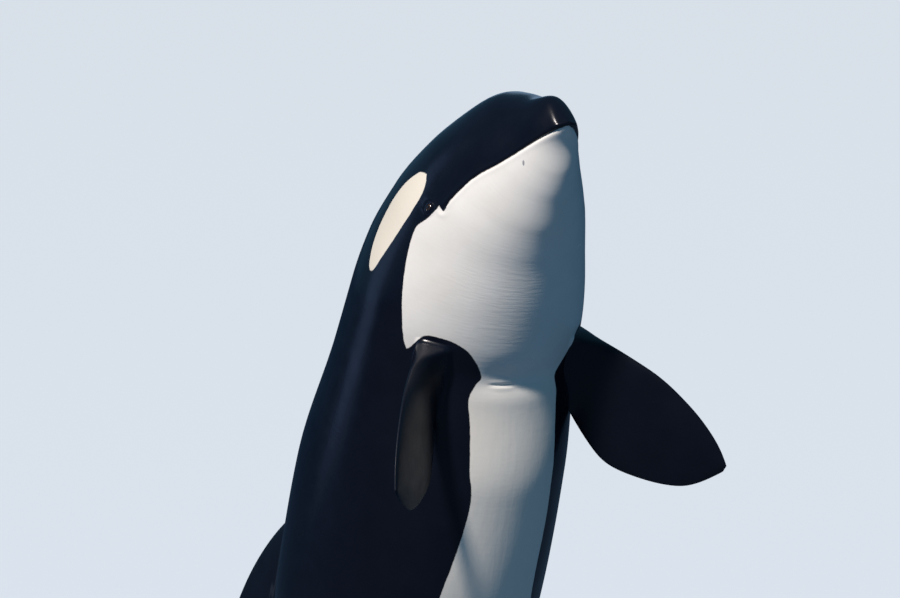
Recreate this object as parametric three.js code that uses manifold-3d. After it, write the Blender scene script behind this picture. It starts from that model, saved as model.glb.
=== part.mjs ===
// A life-size orca rising upright from the water as it looks about, on a plain display stand.
// Millimetres, +Z up. The belly faces -Y, the animal's left is +X, and the floor is Z = 0.
// A place on the body is given by s, the distance along the spine from the tip of the upper jaw,
// x, the distance from the middle plane, and h, the height above the spine towards the back.
import * as THREE from "three";
import { ParametricGeometry } from "three/addons/geometries/ParametricGeometry.js";
import { mergeVertices } from "three/addons/utils/BufferGeometryUtils.js";
import Module from "manifold-3d";

const wasm = await Module();
wasm.setup();

// Driving sizes of the animal
const LENGTH = 5930; // tip of the upper jaw to the notch of the flukes, along the spine
const TIP = { y: -1100, z: 5760 }; // where the spine starts, at the tip of the upper jaw
const GAP = 0.3; // between any two pieces that touch
const SMOOTHED = 0.05; // slivers smaller than this are taken out of the cut faces
const DROOP = 135; // how far the snout's middle hangs under the spine
const DROOP_END = 800;
const BOXY = { most: 0.25, end: 500 }; // the snout's upper half is squarer than an ellipse
const STATIONS = 56; // rings along the body
const RING = 40; // points round the body

// Lean of the spine from upright towards the belly, in degrees, at distances from the tip
const LEAN = [
  [0, 50], [250, 48.2], [500, 39.6], [700, 30.6], [1000, 22.5], [1500, 22.4],
  [2400, 20], [3200, 8], [4000, -5], [4800, -14], [5400, -16], [6000, -13],
];
// Half width of the body
const HALF_WIDTH = [
  [0, 0], [20, 49], [50, 73], [100, 104], [200, 150], [300, 205], [400, 259], [500, 309],
  [600, 353], [800, 414], [1200, 495], [2100, 527], [2600, 524], [3100, 480], [3600, 415],
  [4200, 310], [4800, 190], [5200, 118], [5600, 68], [5860, 40], [5930, 0],
];
// Height of the back over the middle line of the section
const BACK = [
  [0, 0], [15, 95], [40, 144], [80, 156], [130, 170], [200, 224], [300, 284], [450, 322],
  [600, 370], [800, 453], [1000, 516], [1500, 535], [2100, 634], [2600, 604], [3100, 553],
  [3600, 474], [4200, 365], [4800, 262], [5200, 196], [5600, 118], [5860, 55], [5930, 0],
];
// Depth of the belly under the middle line of the section
const BELLY = [
  [0, 0], [15, 21], [50, 44], [100, 84], [200, 197], [300, 276], [500, 373], [700, 417],
  [1000, 446], [1180, 452], [1290, 447], [1420, 482], [1800, 601], [2300, 645], [2800, 605],
  [3300, 545], [3900, 430], [4500, 315], [5000, 225], [5600, 112], [5860, 52], [5930, 0],
];

// Mouth, eye and blowhole
const MOUTH = [[0, -154], [150, -142], [300, -130], [450, -108], [611, -109]];
const GAPE = 611;
const LIP_RADIUS = 15;
const LIP_PROUD = 5;
const EYE = { s: 655, h: -50, radius: 21, proud: 9 };
const LID = { ring: 27, thickness: 9, proud: 3 };
const BLOWHOLE = { s: 700, radius: 44, groove: 8 };
// White patch above and behind the eye, blunt in front and drawn out behind
const EYE_PATCH = [
  [586, 76], [603, 114], [638, 148], [716, 186], [810, 204], [898, 199], [974, 175],
  [1034, 138], [1055, 106], [1037, 80], [952, 58], [860, 37], [756, 23], [669, 24], [620, 39],
];
const EYE_PATCH_INNER = 250; // where its flat floor lies, out from the middle plane

// Markings that part black from white, from the corner of the mouth to the tail
const THROAT_BORDER = [
  [611, -109], [662, -83], [705, -71], [744, -53], [776, -49], [856, -69], [985, -115],
  [1065, -147], [1140, -178], [1225, -210], [1259, -232],
];
const FLIPPER_BORDER = [
  [1259, -232], [1199, -254], [1164, -270], [1156, -292], [1156, -318], [1163, -343],
  [1191, -373], [1243, -392], [1318, -415],
];
const BELLY_BORDER = [
  [1318, -415], [1345, -418], [1400, -427], [1480, -452], [1575, -485], [1700, -525],
  [1850, -557], [2300, -579], [2800, -490], [3250, -360], [3650, -190], [3980, -50], [4230, 10],
];
const FLANK_BORDER = [[4230, 10], [4080, -90], [3900, -190], [3840, -265], [3950, -325]];
const REAR_BORDER = [[3950, -325], [4100, -345], [4240, -400], [4290, -520]];
const SADDLE_BORDER = [
  [3160, 760], [3200, 480], [3300, 350], [3520, 300], [3760, 290], [3930, 330], [3990, 420],
  [4010, 640],
];
const NECK_CUT = 1065;
const TAIL_CUT = 4350;
const JAW_CUT_FOOT = 690;

// Fins: offsets of the front and rear edge along the chord at shares of the span, and thickness
const DORSAL_FIN = {
  s: 2330, sunk: 170, span: 960, ring: 20, steps: 16, thickness: 96,
  lead: [[0, -60], [0.2, 60], [0.45, 245], [0.7, 480], [0.88, 720], [1, 980]],
  trail: [[0, 960], [0.2, 905], [0.45, 905], [0.7, 955], [0.88, 1015], [1, 1045]],
};
const FLIPPER = {
  s: 1316, h: -262, x: 308, span: 865, ring: 20, steps: 18, thickness: 92,
  lead: [[0, -167], [0.2, -166], [0.45, -162], [0.7, -115], [0.86, -57], [0.95, -8], [1, 31]],
  trail: [[0, 165], [0.12, 168], [0.3, 240], [0.5, 312], [0.7, 281], [0.9, 201], [1, 62]],
};
const FLIPPER_POSE = {
  left: { axis: [0.7, -0.49, -0.52], front: [0.27, -0.49, 0.83] },
  right: { axis: [-0.62, -0.63, -0.47], front: [-0.42, -0.24, 0.87] },
};
const FLUKE = {
  s: 5520, span: 860, ring: 18, steps: 16, thickness: 88,
  lead: [[0, -120], [0.1, -55], [0.3, 40], [0.55, 160], [0.8, 305], [0.93, 405], [1, 500]],
  trail: [[0, 390], [0.05, 440], [0.25, 470], [0.5, 472], [0.75, 482], [0.92, 506], [1, 520]],
};

// Stand
const BASE = { width: 2400, depth: 2600, thickness: 40, corner: 300, bevel: 8 };
const ROD = { radius: 45, collar: 110, collarHeight: 25, sides: 24, tall: 2400 };
const BACK_ROD_Y = 440;
const TAIL_ROD_Y = -10;

const BLACK = { color: 0x0b0d12, roughness: 0.28, metalness: 0 };
const WHITE = { color: 0xe9e5da, roughness: 0.35, metalness: 0 };
const GREY = { color: 0x6d7075, roughness: 0.38, metalness: 0 };
const EYE_DARK = { color: 0x120d0b, roughness: 0.08, metalness: 0 };
const STAND_METAL = { color: 0x3c3f43, roughness: 0.5, metalness: 0.6 };

// A smooth function through a short list of [place, value] pairs that never overshoots them
function through(pairs) {
  const x = pairs.map((p) => p[0]);
  const y = pairs.map((p) => p[1]);
  const last = x.length - 1;
  const slope = x.slice(1).map((v, i) => (y[i + 1] - y[i]) / (v - x[i]));
  const bend = x.map((_, i) => {
    if (i === 0) return slope[0];
    if (i === last) return slope[last - 1];
    if (slope[i - 1] * slope[i] <= 0) return 0;
    return (2 * slope[i - 1] * slope[i]) / (slope[i - 1] + slope[i]);
  });
  return (at) => {
    const v = Math.min(Math.max(at, x[0]), x[last]);
    let i = 0;
    while (i < last - 1 && v > x[i + 1]) i += 1;
    const width = x[i + 1] - x[i];
    const t = (v - x[i]) / width;
    const rest = 1 - t;
    return (
      y[i] * (1 + 2 * t) * rest * rest +
      bend[i] * width * t * rest * rest +
      y[i + 1] * (3 - 2 * t) * t * t -
      bend[i + 1] * width * rest * t * t
    );
  };
}

const lean = through(LEAN);
const halfWidth = through(HALF_WIDTH);
const back = through(BACK);
const belly = through(BELLY);
const mouth = through(MOUTH);

// The spine, added up in short steps from the tip of the upper jaw
const SPINE_STEP = 5;
const spine = [{ y: TIP.y, z: TIP.z }];
for (let s = 0; s < LENGTH + 700; s += SPINE_STEP) {
  const angle = THREE.MathUtils.degToRad(lean(s + SPINE_STEP / 2));
  const before = spine[spine.length - 1];
  spine.push({
    y: before.y + Math.sin(angle) * SPINE_STEP,
    z: before.z - Math.cos(angle) * SPINE_STEP,
  });
}

// The point at distance s along the spine, x to the side and h above it
function place(s, x, h) {
  const angle = THREE.MathUtils.degToRad(lean(s));
  const at = Math.min(Math.max(s / SPINE_STEP, 0), spine.length - 1.001);
  const i = Math.floor(at);
  const t = at - i;
  const before = Math.min(s, 0);
  const y = spine[i].y + (spine[i + 1].y - spine[i].y) * t + before * Math.sin(angle);
  const z = spine[i].z + (spine[i + 1].z - spine[i].z) * t - before * Math.cos(angle);
  return new THREE.Vector3(x, y + h * Math.cos(angle), z + h * Math.sin(angle));
}

function middle(s) {
  const t = Math.min(Math.max(1 - s / DROOP_END, 0), 1);
  return -DROOP * t * t;
}

// The power that shapes the upper half of a section: 1 is an ellipse, and less is squarer
function roundness(s) {
  return 1 - BOXY.most * Math.min(Math.max(1 - s / BOXY.end, 0), 1);
}

// A point on the body's skin; turn 0 is the middle of the belly, grow moves the skin outwards
function skin(s, turn, grow = 0) {
  const down = Math.cos(turn);
  const depth = down > 0 ? belly(s) : back(s);
  const aside = Math.sin(turn);
  const reach = Math.sign(aside) * Math.abs(aside) ** (down > 0 ? 1 : roundness(s));
  return place(s, (halfWidth(s) + grow) * reach, middle(s) - (depth + grow) * down);
}

// Half the body's width at height h over the spine
function sideAt(s, h) {
  const up = h - middle(s);
  const share = Math.min(Math.abs(up) / (up < 0 ? belly(s) : back(s)), 1);
  return halfWidth(s) * (1 - share * share) ** (up < 0 ? 0.5 : roundness(s) / 2);
}

// Closed solid from a geometry, with the faces that a pole folds away left out
function solid(geometry) {
  const bare = new THREE.BufferGeometry();
  bare.setAttribute("position", geometry.getAttribute("position"));
  if (geometry.index) bare.setIndex(geometry.index);
  const merged = mergeVertices(bare, 1e-3);
  const corners = merged.index.array;
  const kept = [];
  for (let i = 0; i < corners.length; i += 3) {
    const [a, b, c] = [corners[i], corners[i + 1], corners[i + 2]];
    if (a !== b && b !== c && c !== a) kept.push(a, b, c);
  }
  const made = (triangles) =>
    new wasm.Manifold(
      new wasm.Mesh({
        numProp: 3,
        vertProperties: merged.getAttribute("position").array,
        triVerts: new Uint32Array(triangles),
      }),
    );
  const first = made(kept);
  if (first.volume() > 0) return first;
  for (let i = 0; i < kept.length; i += 3) [kept[i], kept[i + 1]] = [kept[i + 1], kept[i]];
  return made(kept);
}

function largest(made) {
  return made.decompose().reduce((a, b) => (a.volume() > b.volume() ? a : b));
}

// The whole body without its fins
function bodySolid(grow) {
  const skinAt = (around, along, target) => {
    const s = LENGTH * along * along * (1.6 - 0.6 * along);
    const reach = along === 0 || along === 1 ? 0 : grow;
    target.copy(skin(s, around * 2 * Math.PI, reach));
  };
  return solid(new ParametricGeometry(skinAt, RING, STATIONS));
}

// A fin lofted from its root to its tip, with a rounded front edge and a thin rear edge.
// spot(share, chord, lift) gives the point at a share of the span. The first and the last step
// close the two ends.
function finSolid(fin, spot) {
  const lead = through(fin.lead);
  const trail = through(fin.trail);
  const finAt = (around, along, target) => {
    const share = (along * (fin.steps + 2) - 1) / fin.steps;
    const held = Math.min(Math.max(share, 0), 1);
    const closes = Math.abs(share - held) * fin.steps > 0.5;
    const turn = around * 2 * Math.PI;
    const chord = closes ? 0.5 : (1 - Math.cos(turn)) / 2;
    const full = fin.thickness * (1 - 0.86 * held ** 0.8);
    const profile = closes ? 0 : Math.sin(turn) * (1.15 - 0.75 * chord) * 0.62;
    const offset = lead(held) + (trail(held) - lead(held)) * chord;
    target.copy(spot(held, offset, full * profile));
  };
  return solid(new ParametricGeometry(finAt, fin.ring, fin.steps + 2));
}

function dorsalFin() {
  return finSolid(DORSAL_FIN, (share, along, lift) => {
    const s = DORSAL_FIN.s + along;
    return place(s, lift, back(DORSAL_FIN.s + 400) - DORSAL_FIN.sunk + DORSAL_FIN.span * share);
  });
}

function flipper(side) {
  const sign = side === "left" ? 1 : -1;
  const axis = new THREE.Vector3(...FLIPPER_POSE[side].axis).normalize();
  const front = new THREE.Vector3(...FLIPPER_POSE[side].front);
  front.addScaledVector(axis, -front.dot(axis)).normalize();
  const rootFront = place(FLIPPER.s - 100, 0, 0).sub(place(FLIPPER.s, 0, 0)).normalize();
  const root = place(FLIPPER.s, sign * FLIPPER.x, FLIPPER.h);
  return finSolid(FLIPPER, (share, along, lift) => {
    // The root's chord lies along the body, and the blade turns to its own line within a third
    const turned = Math.min(1, share / 0.3);
    const chordway = rootFront.clone().lerp(front, turned * turned * (3 - 2 * turned));
    chordway.addScaledVector(axis, -chordway.dot(axis)).normalize();
    const across = new THREE.Vector3().crossVectors(axis, chordway);
    return root
      .clone()
      .addScaledVector(axis, FLIPPER.span * share)
      .addScaledVector(chordway, -along)
      .addScaledVector(across, lift);
  });
}

function fluke(side) {
  const sign = side === "left" ? 1 : -1;
  return finSolid(FLUKE, (share, along, lift) => {
    return place(FLUKE.s + along, sign * FLUKE.span * share, lift);
  });
}

// A thin cut along a line of [s, h] points, right through the body from side to side
function kerf(line) {
  const points = line.map(([s, h]) => place(s, 0, h));
  const slabs = points.slice(1).map((to, i) => {
    const from = points[i];
    const step = to.clone().sub(from);
    const slab = new THREE.BoxGeometry(2400, step.length() + GAP, GAP);
    slab.rotateX(Math.atan2(step.z, step.y));
    slab.translate(0, (from.y + to.y) / 2, (from.z + to.z) / 2);
    return solid(slab);
  });
  return wasm.Manifold.union(slabs);
}

function curved(points, count) {
  const line = new THREE.SplineCurve(points.map(([s, h]) => new THREE.Vector2(s, h)));
  return line.getPoints(count).map((p) => [p.x, p.y]);
}

// The rounded edge of a lip, all the way round the mouth, sunk so that little of it stands proud
function lip(rise) {
  let front = 1;
  while (sideAt(front, mouth(front) + rise) === 0) front += 1;
  const sunk = LIP_RADIUS - LIP_PROUD;
  const half = [];
  for (let i = 1; i <= 11; i += 1) {
    const s = front + (GAPE - LIP_RADIUS - front) * (i / 11) ** 2;
    const h = mouth(s) + rise;
    const aside = Math.min((s - front) / 60, 1);
    half.push([s + sunk * (1 - aside), sideAt(s, h) - sunk * aside, h]);
  }
  const path = half.map(([s, x, h]) => place(s, -x, h)).reverse();
  path.push(place(front + sunk, 0, mouth(front) + rise));
  path.push(...half.map(([s, x, h]) => place(s, x, h)));
  const round = new THREE.Shape().absarc(0, 0, LIP_RADIUS, 0, 2 * Math.PI);
  return solid(
    new THREE.ExtrudeGeometry(round, {
      extrudePath: new THREE.CatmullRomCurve3(path),
      steps: 34,
      curveSegments: 3,
    }),
  );
}

// Where the eye sits, and the way that it looks
function eyeSeat(sign) {
  const at = place(EYE.s, sign * sideAt(EYE.s, EYE.h), EYE.h);
  const ahead = place(EYE.s + 20, sign * sideAt(EYE.s + 20, EYE.h), EYE.h).sub(at);
  const above = place(EYE.s, sign * sideAt(EYE.s, EYE.h + 20), EYE.h + 20).sub(at);
  const out = new THREE.Vector3().crossVectors(ahead, above).normalize();
  if (out.x * sign < 0) out.negate();
  return { at, out };
}

function ball(radius, seat, depth) {
  const sphere = new THREE.SphereGeometry(radius, 16, 10);
  const centre = seat.at.clone().addScaledVector(seat.out, -depth);
  sphere.translate(centre.x, centre.y, centre.z);
  return solid(sphere);
}

function lid(seat) {
  const ring = new THREE.TorusGeometry(LID.ring, LID.thickness, 6, 18);
  ring.scale(1.25, 0.85, 1);
  const facing = new THREE.Quaternion().setFromUnitVectors(new THREE.Vector3(0, 0, 1), seat.out);
  ring.applyQuaternion(facing);
  const centre = seat.at.clone().addScaledVector(seat.out, LID.proud - LID.thickness);
  ring.translate(centre.x, centre.y, centre.z);
  return solid(ring);
}

// The single nostril on top of the head: a crescent groove, open towards the snout
function blowhole() {
  const path = [];
  for (let i = 0; i <= 12; i += 1) {
    const turn = (i / 12) * Math.PI;
    const s = BLOWHOLE.s + Math.sin(turn) * BLOWHOLE.radius * 0.6;
    const x = Math.cos(turn) * BLOWHOLE.radius;
    const share = x / halfWidth(s);
    path.push(place(s, x, middle(s) + back(s) * Math.sqrt(1 - share * share) - 1));
  }
  const round = new THREE.Shape().absarc(0, 0, BLOWHOLE.groove, 0, 2 * Math.PI);
  return solid(
    new THREE.ExtrudeGeometry(round, {
      extrudePath: new THREE.CatmullRomCurve3(path),
      steps: 12,
      curveSegments: 3,
    }),
  );
}

// The block of the eye patch, let into the head; shrink draws its walls and floor in
function eyePatchBlock(sign, shrink) {
  const corners = EYE_PATCH.map(([s, h]) => new THREE.Vector3(s, h, 0));
  const round = new THREE.CatmullRomCurve3(corners, true).getPoints(30).slice(0, 30);
  const points = round.map((p, i) => {
    const along = round[(i + 1) % 30].clone().sub(round[(i + 29) % 30]).normalize();
    const at = place(p.x + along.y * shrink, 0, p.y - along.x * shrink);
    return new THREE.Vector2(at.y, at.z);
  });
  const outline = new THREE.Shape(points);
  const block = new THREE.ExtrudeGeometry(outline, { depth: 400, bevelEnabled: false });
  const toSide = new THREE.Matrix4().makeBasis(
    new THREE.Vector3(0, 1, 0),
    new THREE.Vector3(0, 0, 1),
    new THREE.Vector3(1, 0, 0),
  );
  block.applyMatrix4(toSide);
  const inner = EYE_PATCH_INNER + shrink;
  block.translate(sign > 0 ? inner : -inner - 400, 0, 0);
  return solid(block);
}

function baseSolid() {
  const [w, d, r] = [BASE.width / 2 - BASE.bevel, BASE.depth / 2 - BASE.bevel, BASE.corner];
  const outline = new THREE.Shape();
  outline.moveTo(-w + r, -d);
  outline.lineTo(w - r, -d);
  outline.absarc(w - r, -d + r, r, -Math.PI / 2, 0);
  outline.lineTo(w, d - r);
  outline.absarc(w - r, d - r, r, 0, Math.PI / 2);
  outline.lineTo(-w + r, d);
  outline.absarc(-w + r, d - r, r, Math.PI / 2, Math.PI);
  outline.lineTo(-w, -d + r);
  outline.absarc(-w + r, -d + r, r, Math.PI, 1.5 * Math.PI);
  const plate = new THREE.ExtrudeGeometry(outline, {
    depth: BASE.thickness - 2 * BASE.bevel,
    bevelThickness: BASE.bevel,
    bevelSize: BASE.bevel,
    bevelSegments: 1,
    curveSegments: 6,
  });
  plate.translate(0, 0, BASE.bevel);
  return solid(plate);
}

// A round rod with a collar at its foot, turned about its own axis
function rodSolid(y) {
  const profile = [
    [0, 0], [ROD.collar - 5, 0], [ROD.collar, 5], [ROD.collar, ROD.collarHeight - 6],
    [ROD.collar - 6, ROD.collarHeight], [ROD.radius + 8, ROD.collarHeight + 2],
    [ROD.radius, ROD.collarHeight + 12], [ROD.radius, ROD.tall], [0, ROD.tall],
  ].map(([r, z]) => new THREE.Vector2(r, z));
  const rod = new THREE.LatheGeometry(profile, ROD.sides);
  rod.rotateX(Math.PI / 2);
  rod.translate(0, y, BASE.thickness + GAP);
  return solid(rod);
}

// The part of a rod below the animal: the lowest piece left once the animal is cut from it
function below(made) {
  return made
    .decompose()
    .reduce((a, b) => (a.boundingBox().min[2] < b.boundingBox().min[2] ? a : b));
}

// The whole animal is shaped first and then parted by thin cuts
const grownBody = bodySolid(GAP);
const seats = { left: eyeSeat(1), right: eyeSeat(-1) };
let body = wasm.Manifold.union([
  bodySolid(0), lip(LIP_RADIUS), lip(-LIP_RADIUS), lid(seats.left), lid(seats.right),
]);
body = body.subtract(blowhole());
const pieces = {};
for (const [side, sign] of [["left", 1], ["right", -1]]) {
  pieces[`eye_${side}`] = ball(EYE.radius, seats[side], EYE.radius - EYE.proud);
  body = body.subtract(ball(EYE.radius + GAP, seats[side], EYE.radius - EYE.proud));
  pieces[`eye_patch_${side}`] = largest(body.intersect(eyePatchBlock(sign, GAP)));
  body = body.subtract(eyePatchBlock(sign, 0));
}

const mouthCut = [[-80, mouth(0)]];
for (let i = 0; i <= 8; i += 1) mouthCut.push([(GAPE * i) / 8, mouth((GAPE * i) / 8)]);
const whiteCut = [
  ...curved(THROAT_BORDER, 18),
  ...curved(FLIPPER_BORDER, 16),
  ...curved(BELLY_BORDER, 22),
  ...curved(FLANK_BORDER, 8),
  ...curved(REAR_BORDER, 4),
];
const throatBorder = through(THROAT_BORDER);
const cuts = [
  mouthCut,
  whiteCut,
  [[GAPE, mouth(GAPE)], [JAW_CUT_FOOT, -520]],
  [[NECK_CUT, throatBorder(NECK_CUT)], [NECK_CUT, 760]],
  [[1318, -415], [1318, -640]],
  [[TAIL_CUT, -600], [TAIL_CUT, 600]],
  curved(SADDLE_BORDER, 12),
];
body = body.subtract(wasm.Manifold.union(cuts.map(kerf)));

// Each piece of the parted body is known by a point that lies inside it
const INSIDE = {
  head: [500, 0, 100],
  lower_jaw: [400, 0, -200],
  throat: [1000, 0, -300],
  belly: [2300, 0, -600],
  torso: [2300, 0, 0],
  saddle_patch: [3600, 0, 400],
  tail_stock: [4900, 0, 0],
};
const loose = body.decompose();
for (const [name, [s, x, h]] of Object.entries(INSIDE)) {
  const at = place(s, x, h);
  const probe = solid(new THREE.BoxGeometry(4, 4, 4).translate(at.x, at.y, at.z));
  pieces[name] = loose.find((piece) => piece.intersect(probe).volume() > 1);
}

pieces.dorsal_fin = largest(dorsalFin().subtract(grownBody));
for (const side of ["left", "right"]) {
  pieces[`flipper_${side}`] = largest(flipper(side).subtract(grownBody));
  pieces[`fluke_${side}`] = largest(fluke(side).subtract(grownBody));
}

const rodRoom = wasm.Manifold.union([grownBody, fluke("left"), fluke("right")]);
pieces.stand_base = baseSolid();
pieces.stand_rod_back = below(rodSolid(BACK_ROD_Y).subtract(rodRoom));
pieces.stand_rod_tail = below(rodSolid(TAIL_ROD_Y).subtract(rodRoom));

const LOOKS = {
  lower_jaw: WHITE,
  throat: WHITE,
  belly: WHITE,
  saddle_patch: GREY,
  eye_left: EYE_DARK,
  eye_right: EYE_DARK,
  eye_patch_left: WHITE,
  eye_patch_right: WHITE,
  stand_base: STAND_METAL,
  stand_rod_back: STAND_METAL,
  stand_rod_tail: STAND_METAL,
};

const orca = new THREE.Group();
for (const [name, piece] of Object.entries(pieces)) {
  const mesh = piece.asOriginal().simplify(SMOOTHED).getMesh();
  const geometry = new THREE.BufferGeometry();
  geometry.setAttribute("position", new THREE.BufferAttribute(mesh.vertProperties, 3));
  geometry.setIndex(new THREE.BufferAttribute(mesh.triVerts, 1));
  geometry.computeVertexNormals();
  const made = new THREE.Mesh(geometry, new THREE.MeshStandardMaterial(LOOKS[name] ?? BLACK));
  made.name = name;
  orca.add(made);
}

export default orca;
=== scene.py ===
# %% [markdown]
# # A life-size orca, rising upright to look about
# The animal is one smooth, wet, black and white skin from its snout to its flukes. It stands on
# a plain display stand of one base and two rods. The CAD model is the fixed frame: its stand
# stays as it is, and one skin here takes the place of all its nodes of flesh.

# %% Frame
import math

import bmesh
import bpy
import numpy as np
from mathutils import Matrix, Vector


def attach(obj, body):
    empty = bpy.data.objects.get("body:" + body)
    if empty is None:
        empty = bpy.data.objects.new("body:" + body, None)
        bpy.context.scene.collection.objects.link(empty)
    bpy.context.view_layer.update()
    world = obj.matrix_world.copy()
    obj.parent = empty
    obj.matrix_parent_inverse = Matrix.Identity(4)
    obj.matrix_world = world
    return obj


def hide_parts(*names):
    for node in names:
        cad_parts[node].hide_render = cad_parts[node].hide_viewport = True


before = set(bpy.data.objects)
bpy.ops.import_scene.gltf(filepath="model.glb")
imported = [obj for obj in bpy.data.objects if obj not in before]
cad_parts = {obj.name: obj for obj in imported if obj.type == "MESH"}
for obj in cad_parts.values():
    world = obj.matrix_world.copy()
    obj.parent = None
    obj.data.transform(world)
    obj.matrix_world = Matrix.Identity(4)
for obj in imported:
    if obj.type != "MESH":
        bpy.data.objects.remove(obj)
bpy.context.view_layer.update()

# %% [markdown]
# The animal is modelled the way it is drawn in a field guide, straight and level, and bent at
# the end. A place on it is given by s, the distance along the spine from the snout, x, the
# distance to the side, and h, the height above the spine. These tables are the CAD model's own,
# in millimetres, so that the skin lies where the solids do.

# %% Driving sizes, in millimetres
LENGTH = 5930
TIP_Y, TIP_Z = -1100, 5760
DROOP, DROOP_END = 135, 800
BOXY, BOXY_END = 0.25, 500
LEAN = [
    (0, 50), (250, 48.2), (500, 39.6), (700, 30.6), (1000, 22.5), (1500, 22.4),
    (2400, 20), (3200, 8), (4000, -5), (4800, -14), (5400, -16), (6000, -13),
]
HALF_WIDTH = [
    (0, 0), (20, 49), (50, 73), (100, 104), (200, 150), (300, 205), (400, 259), (500, 309),
    (600, 353), (800, 414), (1200, 495), (2100, 527), (2600, 524), (3100, 480), (3600, 415),
    (4200, 310), (4800, 190), (5200, 118), (5600, 68), (5860, 40), (5930, 0),
]
BACK = [
    (0, 0), (15, 95), (40, 144), (80, 156), (130, 170), (200, 224), (300, 284), (450, 322),
    (600, 370), (800, 453), (1000, 516), (1500, 535), (2100, 634), (2600, 604), (3100, 553),
    (3600, 474), (4200, 365), (4800, 262), (5200, 196), (5600, 118), (5860, 55), (5930, 0),
]
BELLY = [
    (0, 0), (15, 21), (50, 44), (100, 84), (200, 197), (300, 276), (500, 373), (700, 417),
    (1000, 446), (1180, 452), (1290, 447), (1420, 482), (1800, 601), (2300, 645), (2800, 605),
    (3300, 545), (3900, 430), (4500, 315), (5000, 225), (5600, 112), (5860, 52), (5930, 0),
]
MOUTH = [(0, -154), (150, -142), (300, -130), (450, -108), (611, -109)]
GAPE = MOUTH[-1][0]
EYE_S, EYE_H, EYE_RADIUS, EYE_PROUD = 655, -50, 21, 9
SHOULDER_S = 1500


def through(pairs):
    """A smooth function through [place, value] pairs that never overshoots them."""
    x, y = np.array(pairs, float).T
    slope = np.diff(y) / np.diff(x)
    bend = np.concatenate([slope[:1], np.zeros(len(x) - 2), slope[-1:]])
    product = slope[:-1] * slope[1:]
    same = product > 0
    bend[1:-1][same] = 2 * product[same] / (slope[:-1] + slope[1:])[same]

    def value(at):
        v = np.clip(at, x[0], x[-1])
        i = np.clip(np.searchsorted(x, v, side="right") - 1, 0, len(x) - 2)
        width = x[i + 1] - x[i]
        t = (v - x[i]) / width
        rest = 1 - t
        return (
            y[i] * (1 + 2 * t) * rest**2 + bend[i] * width * t * rest**2
            + y[i + 1] * (3 - 2 * t) * t**2 - bend[i + 1] * width * rest * t**2
        )

    return value


lean, half_width, back, belly, mouth = map(through, (LEAN, HALF_WIDTH, BACK, BELLY, MOUTH))
girth = math.pi * (half_width(SHOULDER_S) + back(SHOULDER_S))
print("girth at the shoulder, mm:", round(girth))

# %% [markdown]
# The spine is a chain of short straight steps whose lean from upright comes from a table. It
# runs on a little past the body, for the tips of the flukes. A curve with a Curve modifier
# could bend the body too, but then its bend wouldn't be the CAD model's own.
# place() bends a point of the straight animal onto the spine, and unplace() straightens one
# again, by walking along the spine until the point lies square to it.

# %% Spine
STEP, RUN_ON = 5, 700
spine_s = np.arange(0, LENGTH + RUN_ON + STEP, STEP, dtype=float)
step_lean = np.radians(lean(spine_s[:-1] + STEP / 2))
spine_y = TIP_Y + np.concatenate([[0], np.cumsum(np.sin(step_lean) * STEP)])
spine_z = TIP_Z - np.concatenate([[0], np.cumsum(np.cos(step_lean) * STEP)])


def place(s, x, h):
    """The bent animal's point, in metres, for arrays of s, x and h in millimetres."""
    angle = np.radians(lean(s))
    before = np.minimum(s, 0)
    y = np.interp(s, spine_s, spine_y) + before * np.sin(angle) + h * np.cos(angle)
    z = np.interp(s, spine_s, spine_z) - before * np.cos(angle) + h * np.sin(angle)
    return np.stack([x + 0 * y, y, z], -1) * 0.001


def unplace(point, start=1300.0, walks=30):
    """s, x and h of one point given in metres."""
    x, y, z = np.array(point) * 1000
    s = start
    for _ in range(walks):
        angle = np.radians(lean(s))
        dy = y - np.interp(s, spine_s, spine_y)
        dz = z - np.interp(s, spine_s, spine_z)
        s += dy * np.sin(angle) - dz * np.cos(angle)
    return s, x, dy * np.cos(angle) + dz * np.sin(angle)


def middle(s):
    return -DROOP * np.clip(1 - s / DROOP_END, 0, 1) ** 2


print("snout tip:", place(np.array(0.0), 0, middle(0.0)).round(3), "m")

# %% [markdown]
# A section of the body is two half ellipses, one for the back and one for the belly, and on the
# snout the upper one is a little squarer. Its rows of points are spread by length along the
# outline, so that faces stay square.
# Along the mouth and the eye the rows are drawn close together, because a groove and a lid
# need small faces, and the rows follow the line of the mouth.

# %% Rows round the body
HALF_ROWS = 20
TURNS = np.linspace(0, np.pi, 121)
BELOW_MOUTH = np.array([8, 22, 55])
ABOVE_MOUTH = np.array([8, 22, 44, 68])
LOWEST_LINE = 0.2
ROOM_BELOW, ROOM_ABOVE = 140, 160
STEPS_BELOW, STEPS_ABOVE = 8, 7
EVEN_FROM, CLOSE_UNTIL = 1100, 760


def smooth(value, low, high):
    t = np.clip((value - low) / (high - low), 0, 1)
    return t * t * (3 - 2 * t)


def roundness(s, down):
    """The power that shapes a section: 1 is an ellipse, and less is squarer."""
    return np.where(down > 0, 1, 1 - BOXY * np.clip(1 - s / BOXY_END, 0, 1))


def section(s, turn):
    """x and h of the skin at an angle from the middle of the belly."""
    down = np.cos(turn)
    depth = np.where(down > 0, belly(s), back(s))
    return half_width(s) * np.sin(turn) ** roundness(s, down), middle(s) - depth * down


def arcs(s):
    x, h = section(s, TURNS)
    return h, np.concatenate([[0], np.cumsum(np.hypot(np.diff(x), np.diff(h)))])


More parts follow.
